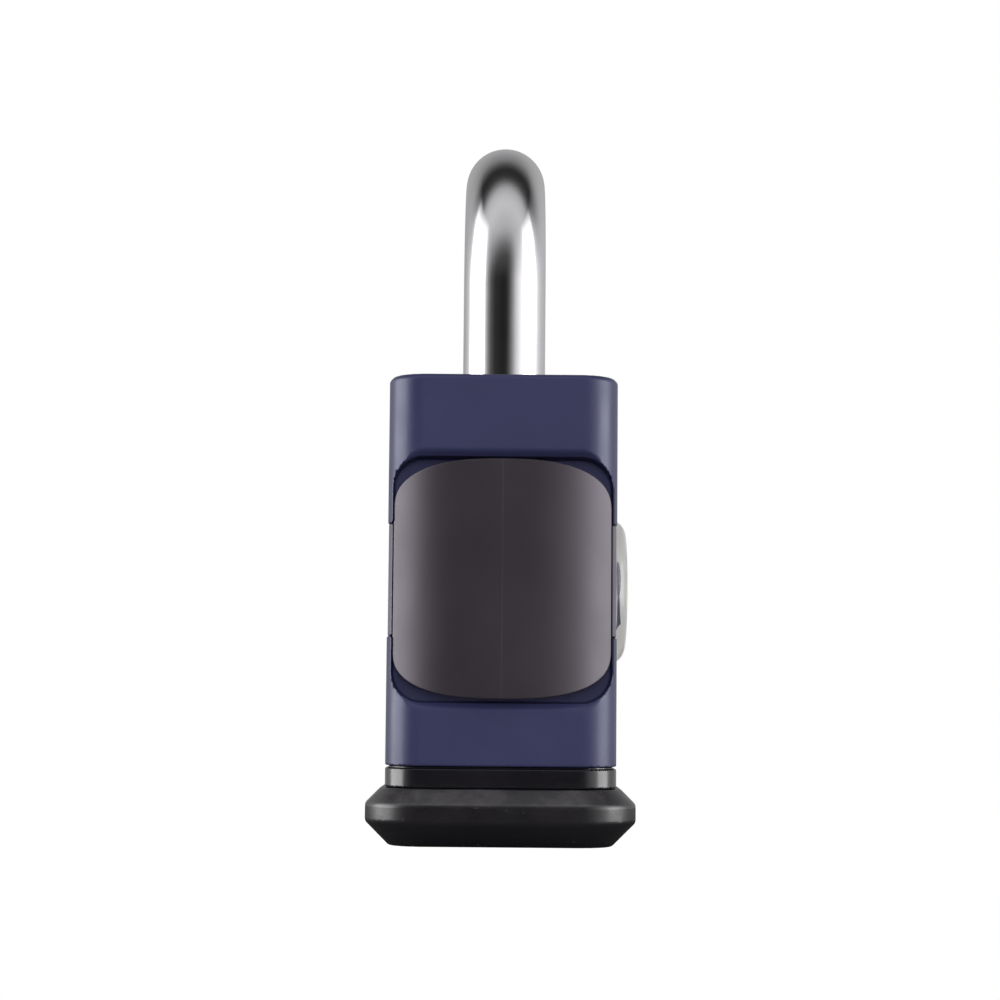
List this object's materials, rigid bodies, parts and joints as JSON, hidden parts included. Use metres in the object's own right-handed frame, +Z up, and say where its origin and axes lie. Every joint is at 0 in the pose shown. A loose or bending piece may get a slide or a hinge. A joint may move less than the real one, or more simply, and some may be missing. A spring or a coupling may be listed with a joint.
{
  "type": "padlock",
  "caption": "Keyless padlock: rounded block body with side covers, steel shackle, domed wake button in a front band, and a rubber-shod base.",
  "frame": {"origin": "centre of the rubber base's underside, on the surface that the padlock stands on", "axes": "+Z up, from the base to the shackle's crown; front, with the button, towards -Y; captive heel of the shackle at -X and free toe at +X"},
  "size_m": [0.0578, 0.0318, 0.0883],
  "materials": {
    "body_paint": "satin navy coating",
    "cover_plastic": "charcoal, satin",
    "fascia_plastic": "grey, satin",
    "base_paint": "semi-gloss black coating",
    "bumper_rubber": "matte black",
    "seal_rubber": "matte black",
    "shackle_plating": "polished plating",
    "steel": "turned and ground",
    "spring_steel": "drawn wire",
    "clear_resin": "clear, polished",
    "badge_ink": "white and navy print",
    "black_plastic": "moulded, black",
    "board": "green solder mask",
    "screen_can": "tinned screening can",
    "cell_sleeve": "printed sleeve",
    "lead_sleeve": "insulated wire"
  },
  "bodies": {
    "housing": {"lock_body": "body_paint", "left_cover": "cover_plastic", "right_cover": "cover_plastic", "front_fascia": "fascia_plastic", "rear_fascia": "fascia_plastic", "base_plate": "base_paint", "base_bumper": "bumper_rubber", "base_gasket": "seal_rubber", "base_screw_1": "steel", "base_screw_2": "steel", "base_screw_3": "steel", "base_screw_4": "steel", "anti_drill_plate": "steel", "heel_seal": "seal_rubber", "toe_seal": "seal_rubber", "shackle_spring": "spring_steel", "thrust_washer": "steel", "gearbox": "steel", "motor": "steel", "mechanism_frame": "steel", "control_board": "board", "wake_switch": "black_plastic", "radio_module": "screen_can", "motor_lead_a": "lead_sleeve", "motor_lead_b": "lead_sleeve", "battery_lead": "lead_sleeve", "battery_cell": "cell_sleeve", "battery_contact": "steel", "battery_cap": "black_plastic", "button_bezel": "fascia_plastic", "button_spring": "spring_steel", "button_seal": "seal_rubber"},
    "shackle": {"shackle": "shackle_plating"},
    "rotor": {"lock_rotor": "steel", "motor_shaft": "steel"},
    "heel_ball": {"locking_ball_heel": "steel"},
    "toe_ball": {"locking_ball_toe": "steel"},
    "button": {"button_dome": "clear_resin", "button_badge": "badge_ink", "button_carrier": "black_plastic", "button_clip": "spring_steel"}
  },
  "joints": [
    {"name": "shackle_lift", "type": "slide", "parent": "housing", "child": "shackle", "axis": [0, 0, 1], "range_m": [0, 0.015], "deforming": ["shackle_spring"]},
    {"name": "cam_turn", "type": "hinge", "parent": "housing", "child": "rotor", "pos_m": [0, 0, 0.047], "axis": [0, 0, 1], "range_deg": [0, 90]},
    {"name": "heel_ball_slide", "type": "slide", "parent": "housing", "child": "heel_ball", "axis": [-1, 0, 0], "range_m": [0, 0.0024]},
    {"name": "toe_ball_slide", "type": "slide", "parent": "housing", "child": "toe_ball", "axis": [1, 0, 0], "range_m": [0, 0.0024]},
    {"name": "button_press", "type": "slide", "parent": "housing", "child": "button", "axis": [0, 1, 0], "range_m": [0, 0.0005], "stiffness_N_per_m": 1500, "springref_m": -0.0008, "deforming": ["button_spring"]}
  ],
  "couplings": [
    {"joint": "cam_turn", "follows": "heel_ball_slide", "rad_per_m": 654.5},
    {"joint": "toe_ball_slide", "follows": "heel_ball_slide", "ratio": 1}
  ]
}
